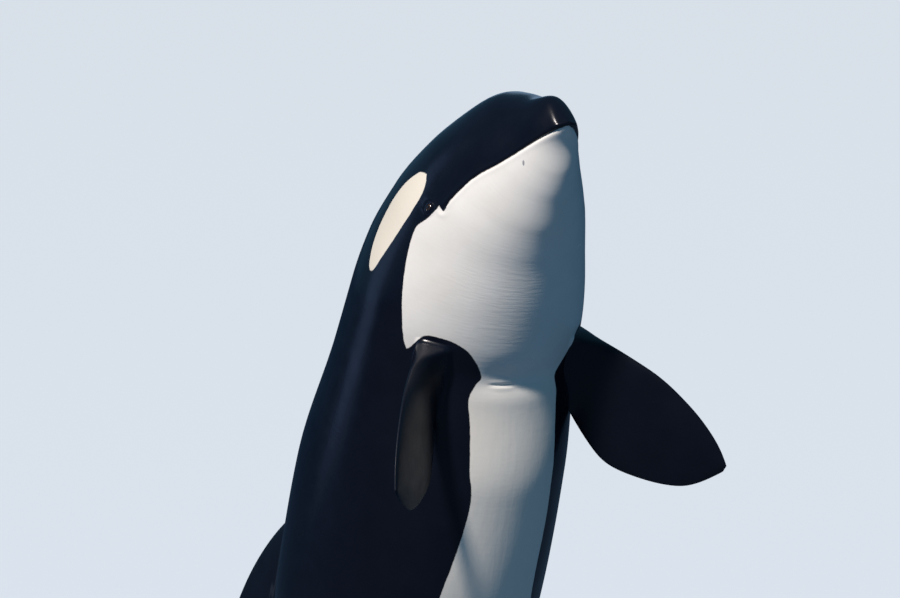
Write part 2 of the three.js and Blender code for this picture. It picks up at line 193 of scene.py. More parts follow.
def row_turns(s):
    """The angles of the rows from the middle of the belly to the middle of the back."""
    h, arc = arcs(s)
    whole = arc[-1]
    line = max(np.interp(mouth(s), h, arc), LOWEST_LINE * whole)
    fit = min(1.0, line / ROOM_BELOW, (whole - line) / ROOM_ABOVE)
    low, high = BELOW_MOUTH * fit, ABOVE_MOUTH * fit
    close = np.concatenate([
        np.linspace(0, line - low[-1], STEPS_BELOW)[:-1], line - low[::-1], [line],
        line + high, np.linspace(line + high[-1], whole, STEPS_ABOVE)[1:],
    ])
    even = np.linspace(0, whole, HALF_ROWS + 1)
    share = smooth(s, EVEN_FROM, CLOSE_UNTIL)
    return np.interp(even * (1 - share) + close * share, arc, TURNS)


def skin_point(s, row):
    """The straight animal's point, in metres, on a row counted round from the belly."""
    side = 1 if row <= HALF_ROWS else -1
    turn = np.interp(min(row, 2 * HALF_ROWS - row), range(HALF_ROWS + 1), row_turns(s))
    x, h = section(s, turn)
    return Vector((side * x, h, -s)) * 0.001


print("rows at the eye, degrees:", np.degrees(row_turns(EYE_S)).round())

# %% [markdown]
# The body could be a sphere pulled long, but a sphere's pole pinches the gloss just where the
# snout shows it. So it starts as a flat grid, the tip of the snout, which has no pole. Two
# numbers stay with each point, its row and its distance s, and a third tells later whether it
# belongs to a fin.

# %% Tip of the snout
CAP, CAP_SPREAD = 24, 1.4


def only(thing):
    """Selects one object and nothing else."""
    bpy.ops.object.select_all(action="DESELECT")
    thing.select_set(True)
    bpy.context.view_layer.objects.active = thing


def edit(thing):
    only(thing)
    bpy.ops.object.mode_set(mode="EDIT")
    bpy.ops.mesh.select_mode(type="VERT")


def ring_row(i, j):
    """The row, from 0 at the belly round to 40, of a place in the snout's grid."""
    m = max(abs(i), abs(j))
    if m == 0:
        return 0.0
    if j == -m and i >= 0:
        walked = i
    elif i == m:
        walked = 2 * m + j
    elif j == m:
        walked = 4 * m - i
    elif i == -m:
        walked = 6 * m - j
    else:
        walked = 8 * m + i
    return walked * HALF_ROWS / (4 * m)


bpy.ops.object.select_all(action="DESELECT")
half = HALF_ROWS // 4
bpy.ops.mesh.primitive_grid_add(x_subdivisions=2 * half, y_subdivisions=2 * half, size=2 * half)
skin = bpy.context.object
skin.name = "orca_skin"
edit(skin)
mesh = bmesh.from_edit_mesh(skin.data)
row_of = mesh.verts.layers.float.new("row")
s_of = mesh.verts.layers.float.new("s")
fin_of = mesh.verts.layers.float.new("fin")
for v in mesh.verts:
    i, j = round(v.co.x), round(v.co.y)
    v[row_of] = ring_row(i, j)
    v[s_of] = CAP * (max(abs(i), abs(j)) / half) ** CAP_SPREAD
    v.co = skin_point(v[s_of], v[row_of])
bmesh.update_edit_mesh(skin.data)
print("tip of the snout:", len(mesh.verts), "points")

# %% [markdown]
# The grid's edge is extruded ring after ring towards the tail, as a sleeve is knitted, and each
# new ring is set on the body's section there. The rings lie close together where small forms
# follow: along the mouth, at the eye and at the crease behind the throat. The last ring is
# drawn together to a point between the flukes.

# %% Rings to the tail
STATIONS = [
    46, 72, 102, 136, 174, 214, 256, 300, 345, 390, 435, 480, 522, 560, 590, 611, 630, 647,
    661, 675, 690, 709, 735, 768, 806, 848, 892, 938, 984, 1030, 1075, 1115, 1152, 1185, 1217,
    1246, 1272, 1294, 1312, 1325, 1335, 1345, 1360, 1384, 1422, 1460, 1500, 1550,
    *range(1630, 5400, 110), 5400, 5460, 5520, 5585, 5650, 5715, 5780, 5840, 5885, 5915,
]
LAST_STEP = (0, 0, -0.012)


def extrude(by=(0, 0, 0)):
    bpy.ops.mesh.extrude_region_move(TRANSFORM_OT_translate={"value": by})
    return bmesh.from_edit_mesh(skin.data)


def kept(mesh):
    """Where each point's row, its s and its share in a fin are kept."""
    return [mesh.verts.layers.float[name] for name in ("row", "s", "fin")]


bpy.ops.mesh.select_all(action="DESELECT")
bpy.ops.mesh.select_non_manifold()
for s in STATIONS:
    mesh = extrude()
    row_of, s_of = kept(mesh)[:2]
    for v in mesh.verts:
        if v.select:
            v[s_of] = s
            v.co = skin_point(s, v[row_of])
    bmesh.update_edit_mesh(skin.data)
extrude(LAST_STEP)
bpy.ops.mesh.merge(type="CENTER")
bpy.ops.mesh.select_all(action="SELECT")
bpy.ops.mesh.normals_make_consistent(inside=False)
bpy.ops.object.mode_set(mode="OBJECT")
print("body cage:", len(skin.data.vertices), "points")

# %% [markdown]
# Fins grow out of the body's own faces, so no seam can show at their roots. A patch of faces
# is chosen on the cage and extruded again and again, and each new rim is laid on the fin's
# section: blunt in front, thin behind. The same lead and trail tables as in the CAD model give
# the outline of each fin.

# %% Fin tables
DORSAL_FIN = {
    "s": 2330, "seat_s": 2730, "sunk": 170, "span": 960, "thickness": 96,
    "lead": [(0, -60), (0.2, 60), (0.45, 245), (0.7, 480), (0.88, 720), (1, 980)],
    "trail": [(0, 960), (0.2, 905), (0.45, 905), (0.7, 955), (0.88, 1015), (1, 1045)],
}
FLIPPER = {
    "s": 1316, "h": -262, "x": 308, "span": 865, "thickness": 92, "turned_by": 0.3,
    "lead": [
        (0, -167), (0.2, -166), (0.45, -162), (0.7, -115), (0.86, -57), (0.95, -8), (1, 31),
    ],
    "trail": [(0, 165), (0.12, 168), (0.3, 240), (0.5, 312), (0.7, 281), (0.9, 201), (1, 62)],
}
FLIPPER_POSE = {
    "left": {"axis": (0.7, -0.49, -0.52), "front": (0.27, -0.49, 0.83)},
    "right": {"axis": (-0.62, -0.63, -0.47), "front": (-0.42, -0.24, 0.87)},
}
FLUKE = {
    "s": 5520, "span": 860, "thickness": 88,
    "lead": [(0, -120), (0.1, -55), (0.3, 40), (0.55, 160), (0.8, 305), (0.93, 405), (1, 500)],
    "trail": [(0, 390), (0.05, 440), (0.25, 470), (0.5, 472), (0.75, 482), (0.92, 506), (1, 520)],
}


def dorsal_spot(share, along, lift):
    base = back(DORSAL_FIN["seat_s"]) - DORSAL_FIN["sunk"]
    return DORSAL_FIN["s"] + along, lift, base + DORSAL_FIN["span"] * share


def fluke_spot(sign):
    def spot(share, along, lift):
        return FLUKE["s"] + along, sign * FLUKE["span"] * share, lift

    return spot


def flipper_spot(side):
    sign = 1 if side == "left" else -1
    axis = Vector(FLIPPER_POSE[side]["axis"]).normalized()
    front = Vector(FLIPPER_POSE[side]["front"])
    front = (front - axis * front.dot(axis)).normalized()
    angle = math.radians(lean(FLIPPER["s"]))
    forward = Vector((0, -math.sin(angle), math.cos(angle)))
    root = Vector(place(FLIPPER["s"], sign * FLIPPER["x"], FLIPPER["h"]))

    def spot(share, along, lift):
        turned = smooth(share, 0, FLIPPER["turned_by"])
        chordway = forward * (1 - turned) + front * turned
        chordway = (chordway - axis * chordway.dot(axis)).normalized()
        across = axis.cross(chordway)
        at = root + (axis * FLIPPER["span"] * share - chordway * along + across * lift) * 0.001
        return unplace(at)

    return spot


tip_spot = flipper_spot("left")(1, 0, 0)
print("tip of the left flipper, s, x and h:", [round(float(value)) for value in tip_spot])

# %% [markdown]
# A patch of the body cage is as many rows wide and stations long as the fin's root. Its rim is
# walked once round: the middle of the front edge is the fin's leading edge, and half way round
# is the trailing edge. Points inside the rim lie on the fin's middle sheet.

# %% Section of a fin
TAPER, TAPER_POWER = 0.86, 0.8
SHEET = 0.2
BLUNT, THINNING, PLUMP = 1.15, 0.75, 0.62


def thickness(fin, share):
    """A fin thins from its root, where share is 0, to its tip, where it is 1."""
    return fin["thickness"] * (1 - TAPER * share**TAPER_POWER)


def section_place(across, column, width, columns):
    """A patch point's place along a fin's chord, from 0 to 1, and its lift off the middle."""
    if abs(across) < width / 2 and 0 < column < columns:
        chord = (1 - math.cos(math.pi * column / columns)) / 2
        return chord, SHEET * 2 * across / width
    if column == 0:
        walked = abs(across)
    elif column == columns:
        walked = width + columns - abs(across)
    else:
        walked = width / 2 + column
    turn = math.pi * walked / (columns + width)
    chord = (1 - math.cos(turn)) / 2
    side = 1 if across >= 0 else -1
    return chord, side * math.sin(turn) * (BLUNT - THINNING * chord) * PLUMP


print("flipper's thickness, mm:", [round(thickness(FLIPPER, share)) for share in (0, 0.5, 1)])

# %% [markdown]
# All five fins grow in the same way, so one function makes them. It selects the patch, and
# extrudes it once for every share of the fin's span.

# %% Fin maker
def grow_fin(fin, spot, rows, first, last, shares, flip=1):
    lead, trail = through(fin["lead"]), through(fin["trail"])
    stations = [s for s in STATIONS if first <= s <= last]
    columns, width = len(stations) - 1, len(rows) - 1
    edit(skin)
    bpy.ops.mesh.select_all(action="DESELECT")
    mesh = bmesh.from_edit_mesh(skin.data)
    row_of, s_of, fin_of = kept(mesh)
    for v in mesh.verts:
        on_patch = round(v[row_of]) in rows and stations[0] <= v[s_of] <= stations[-1]
        v.select = bool(on_patch and v[fin_of] == 0)
    mesh.select_flush(True)
    bmesh.update_edit_mesh(skin.data)
    for share in shares:
        mesh = extrude()
        row_of, s_of, fin_of = kept(mesh)
        full = thickness(fin, share)
        front, rear = lead(share), trail(share)
        for v in mesh.verts:
            if not v.select:
                continue
            column = min(range(columns + 1), key=lambda c: abs(stations[c] - v[s_of]))
            across = rows.index(round(v[row_of])) - width / 2
            chord, lift = section_place(across, column, width, columns)
            s, x, h = spot(share, front + (rear - front) * chord, flip * lift * full)
            v.co = Vector((x, h, -s)) * 0.001
            v[fin_of] = 1
        bmesh.update_edit_mesh(skin.data)
    bpy.ops.object.mode_set(mode="OBJECT")
    print("fin of", 2 * (columns + width), "points round and", len(shares), "steps")


def mirrored(rows):
    return [2 * HALF_ROWS - row for row in rows]


print("rows of the right flipper:", mirrored([4, 5, 6]))

# %% [markdown]
# The flippers grow from three rows low on each side, the dorsal fin from three rows along the
# top of the back, and each fluke from seven rows on a side of the tail stock. The steps lie
# closer towards the tips, which are the roundest parts.

# %% Five fins
SHARES = [0.2, 0.29, 0.38, 0.47, 0.56, 0.65, 0.74, 0.82, 0.89, 0.95, 1.0]
FLIPPER_ROWS, DORSAL_ROWS = [4, 5, 6], [19, 20, 21]
FLUKE_ROWS = [7, 8, 9, 10, 11, 12, 13]
FLIPPER_ROOT, DORSAL_ROOT, FLUKE_ROOT = (1180, 1505), (2290, 3270), (5390, 5900)

grow_fin(FLIPPER, flipper_spot("left"), FLIPPER_ROWS, *FLIPPER_ROOT, SHARES, flip=-1)
grow_fin(FLIPPER, flipper_spot("right"), mirrored(FLIPPER_ROWS), *FLIPPER_ROOT, SHARES)
grow_fin(DORSAL_FIN, dorsal_spot, DORSAL_ROWS, *DORSAL_ROOT, [0.23, 0.3, *SHARES[2:]], flip=-1)
grow_fin(FLUKE, fluke_spot(1), FLUKE_ROWS, *FLUKE_ROOT, [0.12, *SHARES])
grow_fin(FLUKE, fluke_spot(-1), mirrored(FLUKE_ROWS), *FLUKE_ROOT, [0.12, *SHARES])

# %% [markdown]
# A subdivision surface turns the cage into a smooth skin, fins and all. It is applied, because
# the small forms that follow need its points.

# %% Smooth the cage
only(skin)
round_off = skin.modifiers.new("round_off", "SUBSURF")
round_off.levels = round_off.render_levels = 2
bpy.ops.object.modifier_apply(modifier="round_off")
print("skin:", len(skin.data.vertices), "points,", len(skin.data.polygons), "faces")

# %% [markdown]
# From here on the skin has tens of thousands of points. They are read and written all at once,
# as arrays of numbers, because a loop over single points would be slow.

# %% Points as arrays
def points_of(thing, what="co"):
    count = len(thing.data.vertices)
    values = np.empty(count * 3)
    thing.data.vertices.foreach_get(what, values)
    return values.reshape(-1, 3)


def straight(thing):
    """s, x and h, in millimetres, of every point of the straight animal."""
    x, h, z = points_of(thing).T * 1000
    return -z, x, h


def write_straight(thing, s, x, h):
    thing.data.vertices.foreach_set("co", (np.stack([x, h, -s], -1) * 0.001).ravel())
    thing.data.update()


def values_of(thing, name):
    values = np.empty(len(thing.data.vertices))
    thing.data.attributes[name].data.foreach_get("value", values)
    return values


print("the skin reaches back to s =", straight(skin)[0].max().round(), "mm")

# %% [markdown]
# Smoothing draws a cage in a little, so each point of the body goes back out to its section.
# A Shrinkwrap modifier could pull the skin onto the solids instead, but it would copy their
# facets.

# %% Back to the sections
FIN_FADE = 4
LAST_MOVED, ALL_MOVED = LENGTH - 25, LENGTH - 60


def turn_at(s, x, h):
    """A skin point's angle from the middle of the belly, the reverse of section()."""
    up = h - middle(s)
    depth = np.where(up < 0, belly(s), back(s)) + 1e-3
    aside = (np.abs(x) / (half_width(s) + 1e-3)) ** (1 / roundness(s, -up))
    return np.arctan2(aside, -up / depth)


def off_fins(thing):
    """1 on the body, falling to 0 at the root of a fin."""
    return np.clip(1 - FIN_FADE * values_of(thing, "fin"), 0, 1)


s, x, h = straight(skin)
on_body = off_fins(skin) * smooth(s, LAST_MOVED, ALL_MOVED)
exact_x, exact_h = section(s, turn_at(s, x, h))
moved = np.hypot(exact_x * np.sign(x) - x, exact_h - h) * on_body
x = x + (exact_x * np.sign(x) - x) * on_body
h = h + (exact_h - h) * on_body
write_straight(skin, s, x, h)
print("points put back by up to", round(moved.max(), 1), "mm")

# %% [markdown]
# On the top of the snout one section differs most from the next, and a ridge would show in the
# gloss. So its points are relaxed: each moves a little towards the middle of its neighbours,
# as a thumb smooths clay.

# %% Relax the snout
SNOUT_END, OVER_MOUTH = 260, 14


def choose(near, kind="VERT"):
    """Selects the points, or the faces, of the skin where a test of s, x and h holds."""
    edit(skin)
    bpy.ops.mesh.select_mode(type=kind)
    bpy.ops.mesh.select_all(action="DESELECT")
    mesh = bmesh.from_edit_mesh(skin.data)
    for part in mesh.verts if kind == "VERT" else mesh.faces:
        at = part.co if kind == "VERT" else part.calc_center_median()
        side, up, ahead = at * 1000
        part.select = bool(near(-ahead, side, up))
    bmesh.update_edit_mesh(skin.data)


choose(lambda s, x, h: s < SNOUT_END and h > mouth(s) + OVER_MOUTH)
bpy.ops.mesh.vertices_smooth(factor=0.5, repeat=10)
bpy.ops.object.mode_set(mode="OBJECT")
print("relaxed back to", SNOUT_END, "mm from the snout's tip")

# %% [markdown]
# Lids and a nostril are much smaller than the faces of the rest of the body. Only the faces
# round each eye and the blowhole are divided again, because a finer skin all over would be
# several times as heavy.

# %% Finer faces
BLOWHOLE_S = 700
EYE_ROOM, ON_SIDE = 38, 200
HOLE_LONG, HOLE_WIDE, ON_TOP = 75, 70, 200


def divide(near, cuts):
    """Divides the faces near which a test holds."""
    choose(near, "FACE")
    bpy.ops.mesh.subdivide(number_cuts=cuts)
    bpy.ops.object.mode_set(mode="OBJECT")


def at_eye(s, x, h):
    return math.hypot(s - EYE_S, h - EYE_H) < EYE_ROOM and abs(x) > ON_SIDE


def at_blowhole(s, x, h):
    return abs(s - BLOWHOLE_S) < HOLE_LONG and abs(x) < HOLE_WIDE and h > ON_TOP


divide(at_eye, 2)
divide(at_blowhole, 4)
print("skin:", len(skin.data.vertices), "points,", len(skin.data.polygons), "faces")

# %% [markdown]
# Small forms are pressed into the skin as a sculptor does it. Each is a roll or a groove, a
# push along the surface's own normal that fades with distance, and all pushes are added up
# before a point moves. A bump in the material would be easier, but it leaves the outline flat.
# The lips come first, with the groove of the closed mouth between them and a fold round its
# corner. A form is given by its height, its place and its width, in millimetres.

# %% Lips
UPPER_LIP, LOWER_LIP, MOUTH_GROOVE = (2.4, 13, 9), (1.2, -13, 9), (-6, 0, 4.5)
CORNER_FOLD, CORNER_DIP = (1.3, 26, 10), (-1.6, 6, 9)


def bell(distance, width):
    return np.exp(-((distance / width) ** 2))


def forms(distance, *shapes):
    return sum(height * bell(distance - at, width) for height, at, width in shapes)


s, x, h = straight(skin)
normal = points_of(skin, "normal")
flesh = off_fins(skin)
in_mouth = smooth(s, GAPE + 14, GAPE - 30) * flesh
push = in_mouth * forms(h - mouth(s), UPPER_LIP, LOWER_LIP, MOUTH_GROOVE)

from_corner = np.hypot(s - GAPE - 8, h - mouth(GAPE))
at_corner = smooth(s, GAPE - 21, GAPE + 14) * flesh
push += at_corner * forms(from_corner, CORNER_FOLD, CORNER_DIP)
print("groove of the mouth:", push.min().round(1), "mm")

# %% [markdown]
# An orca's lids are thick and stand a little proud round a small opening. Inside the opening
# the skin goes behind the eyeball, and outside it the skin follows the ball and then falls in
# two soft folds.

# %% Lids
OPEN_LONG, OPEN_UP, OPEN_DOWN, BEHIND_BALL = 16, 7, 10, -7
LID_RIM = (2.2, 1.35, 0.45)
LID_FOLDS = (1.2, 24, 7), (-1.4, 28.5, 3.2), (1.6, 34, 6)

along, above = s - EYE_S, h - EYE_H
reach = np.hypot(along, above)
opening = np.hypot(along / OPEN_LONG, above / np.where(above > 0, OPEN_UP, OPEN_DOWN))
ball = np.sqrt(np.clip(EYE_RADIUS**2 - reach**2, 0, None)) - EYE_RADIUS + EYE_PROUD
lid = np.maximum(ball, 0) + forms(opening, LID_RIM) + forms(reach, *LID_FOLDS)
push += (np.abs(x) > ON_SIDE) * flesh * np.where(opening < 1, BEHIND_BALL, lid)
print("points in the two openings:", ((opening < 1) & (np.abs(x) > ON_SIDE)).sum())

# %% [markdown]
# The blowhole is one nostril on top of the head. It is closed here, so it is a crescent groove
# that bends round a low mound, with a rim behind it.

# %% Blowhole
NOSTRIL_MOUND, NOSTRIL_RIM, NOSTRIL_GROOVE = (4, 0, 26), (3, 46, 14), (-9, 30, 5)

from_hole = np.hypot(x, s - BLOWHOLE_S + 4)
behind = smooth(s, BLOWHOLE_S - 12, BLOWHOLE_S + 4)
nostril = forms(from_hole, NOSTRIL_MOUND, NOSTRIL_RIM)
nostril += behind * forms(from_hole, NOSTRIL_GROOVE)
push += (h > ON_TOP) * nostril
print("mound of the blowhole:", nostril.max().round(1), "mm")

# %% [markdown]
# Behind the throat, where the raised head bends the neck, the skin sinks in a shallow hollow
# with one sharp crease across it. The crease lies a little towards the animal's right.

# %% Crease behind the throat
UNDERSIDE = -300
HOLLOW_S, HOLLOW_DEPTH, HOLLOW_BEFORE, HOLLOW_BEHIND = 1330, 10, 70, 40
HOLLOW_FADE, CREASE_FADE, CREASE_X = (230, 90), (70, 25), -56
CREASE = (2.4, 1324, 10), (-6, 1337, 6), (2.4, 1350, 10)

under = (h < UNDERSIDE) * flesh
hollow = bell(s - HOLLOW_S, np.where(s < HOLLOW_S, HOLLOW_BEFORE, HOLLOW_BEHIND))
push -= HOLLOW_DEPTH * hollow * smooth(np.abs(x), *HOLLOW_FADE) * under
push += smooth(np.abs(x - CREASE_X), *CREASE_FADE) * under * forms(s, *CREASE)

s, x, h = s + push * -normal[:, 2], x + push * normal[:, 0], h + push * normal[:, 1]
write_straight(skin, s, x, h)
print("pushed by", push.min().round(1), "to", push.max().round(1), "mm")

# %% [markdown]
# The markings are borders drawn on the straight animal, as (s, h) points that match the seams
# between the CAD nodes. Each point of the skin keeps its distance to a border as a number,
# and the material turns that number into a crisp edge. That keeps an edge sharp however large
# the faces are, where a colour kept at each point would blur. An orca's two sides differ a
# little, and here the white of the belly lies a few centimetres towards the animal's left.

# %% Borders of the markings
MOUTH_CORNER = [(582, -111), (601, -119), (624, -118), (620, -99), (615, -85), (632, -88)]
THROAT_BORDER = [
    (662, -83), (705, -71), (744, -53), (776, -49), (856, -69), (985, -115),
    (1065, -147), (1140, -178), (1225, -210), (1259, -232),
]
FLIPPER_BORDER = [
    (1259, -232), (1199, -254), (1164, -270), (1156, -292), (1156, -318), (1163, -343),
    (1191, -373), (1243, -392), (1318, -415),
]
BELLY_BORDER = [
    (1318, -415), (1345, -418), (1400, -427), (1480, -452), (1575, -485), (1700, -525),
    (1850, -557), (2300, -579), (2800, -490), (3250, -360), (3650, -190), (3980, -50), (4230, 10),
]
FLANK_BORDER = [(4230, 10), (4080, -90), (3900, -190), (3840, -265), (3950, -325)]
REAR_BORDER = [(3950, -325), (4100, -345), (4240, -400), (4290, -520)]
SADDLE_BORDER = [
    (3160, 760), (3200, 480), (3300, 350), (3520, 300), (3760, 290), (3930, 330), (3990, 420),
    (4010, 640),
]
EYE_PATCH = [
    (586, 76), (603, 114), (638, 148), (716, 186), (810, 204), (898, 199), (974, 175),
    (1034, 138), (1055, 106), (1037, 80), (952, 58), (860, 37), (756, 23), (669, 24), (620, 39),
]
STRIPE_SKEW = [
    (1100, 0), (1160, 38), (1240, 54), (1300, 43), (1345, 21), (1400, 17), (1500, 25),
    (1700, 30), (1850, 38), (2300, 0), (6000, 0),
]
print("points drawn for the eye patch:", len(EYE_PATCH), "and the saddle:", len(SADDLE_BORDER))

# %% [markdown]
# A distance is measured along the skin and not straight through the body. So a place is given
# here by s and by its arc, the length of skin from the middle of the belly up to it, which is
# read from a grid of sections. A smooth curve goes through the few points of each border.

# %% Distances along the skin
GRID_STEP, TURN_STEP = 20.0, TURNS[1]
grid_s = np.arange(0, LENGTH + GRID_STEP, GRID_STEP)
grid_arc = np.array([arcs(at)[1] for at in grid_s])


def arc_at(s, turn):
    """The length along the skin from the middle of the belly, for arrays of s and turn."""
    i = np.clip((s / GRID_STEP).astype(int), 0, len(grid_s) - 2)
    j = np.clip((turn / TURN_STEP).astype(int), 0, len(TURNS) - 2)
    u = np.clip(s / GRID_STEP - i, 0, 1)
    v = turn / TURN_STEP - j
    low = grid_arc[i, j] * (1 - v) + grid_arc[i, j + 1] * v
    high = grid_arc[i + 1, j] * (1 - v) + grid_arc[i + 1, j + 1] * v
    return low * (1 - u) + high * u


def curved(points, count):
    """More points on a smooth curve through a few."""
    p = np.array([points[0], *points, points[-1]], float)
    out = []
    for i in range(len(points) - 1):
        for t in np.linspace(0, 1, count, endpoint=False):
            a, b, c, d = p[i], p[i + 1], p[i + 2], p[i + 3]
            square = 2 * a - 5 * b + 4 * c - d
            cubic = 3 * (b - c) + d - a
            out.append(b + 0.5 * t * (c - a + t * (square + t * cubic)))
    return np.array([*out, points[-1]])


def on_skin(points):
    """Turns (s, h) points of a border into (s, arc) points."""
    s, h = np.array(points, float).T
    up = h - middle(s)
    depth = np.where(up < 0, belly(s), back(s))
    turn = np.arccos(np.clip(-up / depth, -1, 1))
    return np.stack([s, arc_at(s, turn)], -1)


print("arc to the top of the back, mm:", grid_arc.max().round())

# %% [markdown]
# A point's distance to a border is the distance to the nearest of the border's short sides. The
# point is inside where a line from it crosses the border an odd number of times.

# %% Distance inside a border
def inside_by(points, outline):
    """How far points lie inside a closed outline, in millimetres, and less than 0 outside."""
    best = np.full(len(points), 1e9)
    crossed = np.zeros(len(points), bool)
    for a, b in zip(outline, np.roll(outline, -1, 0)):
        edge = b - a
        share = np.clip((points - a) @ edge / max(edge @ edge, 1e-9), 0, 1)
        best = np.minimum(best, np.linalg.norm(points - a - share[:, None] * edge, axis=1))
        spans = (a[1] > points[:, 1]) != (b[1] > points[:, 1])
        run = (points[:, 1] - a[1]) / (edge[1] if edge[1] else 1e-9)
        crossed ^= spans & (points[:, 0] < a[0] + run * edge[0])
    return np.where(crossed, best, -best)


unit_square = np.array([(0.0, 0.0), (1.0, 0.0), (1.0, 1.0), (0.0, 1.0)])
print("middle and outside of a square:", inside_by(np.array([(0.5, 0.5), (2, 0.5)]), unit_square))

# %% [markdown]
# The white runs from the chin along the mouth, under the eye and the flipper and along the
# belly, with one lobe up each flank. Its area is closed past the middle of the belly, where no
# border is wanted. The fins are black, so on them the white stays far away.

# %% White of the throat and belly
ON_FIN, FAR_OUTSIDE = 0.2, -60
LIPS_END, PAST_BELLY = 570, -400
SKEW_ENDS, SKEW_FULL = 420, 320

s, x, h = straight(skin)
here = np.stack([s, arc_at(np.clip(s, 0, LENGTH), turn_at(s, x, h))], -1)
fin = values_of(skin, "fin")

chin = next(at for at in range(1, 99) if middle(at) - belly(at) < mouth(at))
mouth_line = [(at, float(mouth(at))) for at in np.linspace(chin, LIPS_END, 30)]
white_line = on_skin(np.concatenate([
    mouth_line, MOUTH_CORNER, curved(THROAT_BORDER, 4), curved(FLIPPER_BORDER, 4),
    curved(BELLY_BORDER, 4), curved(FLANK_BORDER, 3), curved(REAR_BORDER, 3),
]))
white_area = np.concatenate([
    white_line, [(REAR_BORDER[-1][0], PAST_BELLY), (chin, PAST_BELLY)],
])
skew = through(STRIPE_SKEW)(s) * smooth(np.abs(x), SKEW_ENDS, SKEW_FULL)
white_edge = inside_by(here - np.stack([0 * s, skew * np.sign(x)], -1), white_area)
white_edge = np.where(fin > ON_FIN, FAR_OUTSIDE, white_edge)
print("white share of the points:", (white_edge > 0).mean().round(2))

# %% [markdown]
# The eye patch is a closed oval. The saddle is open above, so it is closed past the middle of
# the back. The pale underside of the flukes keeps clear of their edges and of the tail stock.

# %% Eye patch, saddle and flukes
PAST_BACK = 600
FROM_LEAD, FROM_TRAIL, FROM_STOCK, STOCK_FADE = 45, 75, 70, 0.6
WHOLLY_FIN, FLUKES_FROM = 0.5, 5300

patch_edge = inside_by(here, on_skin(curved([*EYE_PATCH, EYE_PATCH[0]], 4)))

saddle_line = on_skin(curved(SADDLE_BORDER, 5))
past = here[:, 1].max() + PAST_BACK
saddle_area = np.concatenate([
    saddle_line, [(saddle_line[-1, 0], past), (saddle_line[0, 0], past)],
])
saddle_edge = np.where(fin > ON_FIN, FAR_OUTSIDE, inside_by(here, saddle_area))

share = np.clip(np.abs(x) / FLUKE["span"], 0, 1)
chord = s - FLUKE["s"]
from_lead = chord - through(FLUKE["lead"])(share) - FROM_LEAD
from_trail = through(FLUKE["trail"])(share) - FROM_TRAIL - chord
from_stock = (np.abs(x) - FROM_STOCK) * STOCK_FADE
fluke_edge = np.minimum(np.minimum(from_lead, from_trail), from_stock)
below = (fin > WHOLLY_FIN) & (s > FLUKES_FROM) & (h < 0)
fluke_edge = np.where(below, fluke_edge, FAR_OUTSIDE)
print("pale points under the flukes:", (fluke_edge > 0).sum())

# %% [markdown]
# The distances go into the mesh as attributes, and so does each point's place on the straight
# animal. A pattern in the material can then run along the body and doesn't bend with it.

# %% Keep the distances
def keep(thing, name, values, kind="FLOAT"):
    """Keeps a number, or a place, with each point of a mesh, for its material to read."""
    made = thing.data.attributes.new(name, kind, "POINT")
    field = "value" if kind == "FLOAT" else "vector"
    made.data.foreach_set(field, np.ascontiguousarray(values, float).ravel())


for name, edge in (
    ("white_edge", white_edge), ("patch_edge", patch_edge), ("saddle_edge", saddle_edge),
    ("fluke_edge", fluke_edge),
):
    keep(skin, name, edge * 0.001)
keep(skin, "unbent", np.stack([x, h, s], -1) * 0.001, "FLOAT_VECTOR")
print("four distances and a place kept with each of", len(s), "points")

# %% [markdown]
# Now every point is bent onto the spine, so the animal rises upright with its tail curved
# under it. Bending last keeps all the steps before it simple, because they saw it straight.

# %% Bend
skin.data.vertices.foreach_set("co", place(s, x, h).ravel())
skin.data.update()
only(skin)
bpy.ops.object.shade_smooth()
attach(skin, "root")
FLESH = [
    "head", "lower_jaw", "throat", "belly", "torso", "saddle_patch", "tail_stock", "dorsal_fin",
    "flipper_left", "flipper_right", "fluke_left", "fluke_right", "eye_patch_left",
    "eye_patch_right",
]
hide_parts(*FLESH)
print("bent skin:", [round(v, 2) for v in skin.dimensions])

# %% [markdown]
# An orca's eyeball is about four centimetres across, and its lids hide all but a small cap. A
# cap alone would do, but a whole ball can't show an edge between the lids. Its pole is turned
# outwards, and the material finds the pupil by each point's angle from that pole.

# %% Eyes
SEAT_STEP = 20


def eye_seat(sign):
    """The CAD model's seat of an eye: its place on the skin and the way that it looks."""
    def at(ds, dh):
        s, h = EYE_S + ds, EYE_H + dh
        up = h - middle(s)
        side = half_width(s) * math.sqrt(1 - (up / (belly(s) if up < 0 else back(s))) ** 2)
        return Vector(place(s, sign * side, h))

    here = at(0, 0)
    out = (at(SEAT_STEP, 0) - here).cross(at(0, SEAT_STEP) - here).normalized()
    return here, out if out.x * sign > 0 else -out


eyes = {}
for side, sign in (("left", 1), ("right", -1)):
    seat, out = eye_seat(sign)
    centre = seat - out * (EYE_RADIUS - EYE_PROUD) * 0.001
    bpy.ops.object.select_all(action="DESELECT")
    bpy.ops.mesh.primitive_uv_sphere_add(
        segments=40, ring_count=24, radius=EYE_RADIUS * 0.001, location=centre,
        rotation=out.to_track_quat("Z", "Y").to_euler(),
    )
    eye = bpy.context.object
    eye.name = "eyeball_" + side
    bpy.ops.object.transform_apply(location=True, rotation=True, scale=True)
    way = points_of(eye) - np.array(centre)
    way /= np.linalg.norm(way, axis=1)[:, None]
    keep(eye, "from_pupil", np.arccos(np.clip(way @ np.array(out), -1, 1)))
    bpy.ops.object.shade_smooth()
    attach(eye, "root")
    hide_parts("eye_" + side)
    eyes[side] = eye
print("eyes at", [list(v.location) for v in eyes.values()])

# %% [markdown]
# Materials are small graphs of nodes. add() makes one node, sets its plain values and joins
# its inputs, and reads almost like the picture of the graph. The helpers after it make the
# nodes that are used again and again.

# %% Node helpers
def feed(tree, socket, value):
    """Joins a socket to another node's output, or sets its plain value."""
    if isinstance(value, bpy.types.NodeSocket):
        tree.links.new(value, socket)
    else:
        socket.default_value = value


